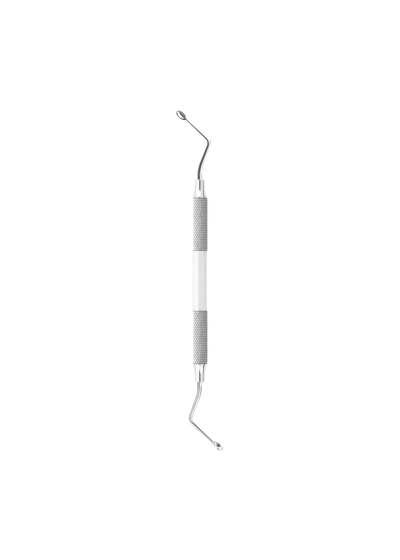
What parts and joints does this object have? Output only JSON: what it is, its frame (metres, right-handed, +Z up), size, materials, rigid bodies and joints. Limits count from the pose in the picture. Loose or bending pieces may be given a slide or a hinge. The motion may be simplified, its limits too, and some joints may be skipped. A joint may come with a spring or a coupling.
{
  "type": "double-ended dental curette",
  "caption": "Slim steel hand instrument with a knurled round handle and a twice-bent shank with a small oval spoon at each end, for scraping out sockets.",
  "frame": {"origin": "on the floor under the middle of the handle, at the centre of the plan", "axes": "+Y along the handle towards the end whose spoon opens upwards, +Z up, +X to the right of it"},
  "size_m": [0.024, 0.173, 0.008],
  "materials": {
    "satin_steel": "satin ground stainless steel with a diamond knurl",
    "turned_steel": "fine turned and polished stainless steel",
    "polished_steel": "polished stainless steel"
  },
  "bodies": {
    "root": {"handle_tube": "satin_steel", "far_cone": "turned_steel", "near_cone": "turned_steel", "far_tip": "polished_steel", "near_tip": "polished_steel"}
  },
  "joints": []
}
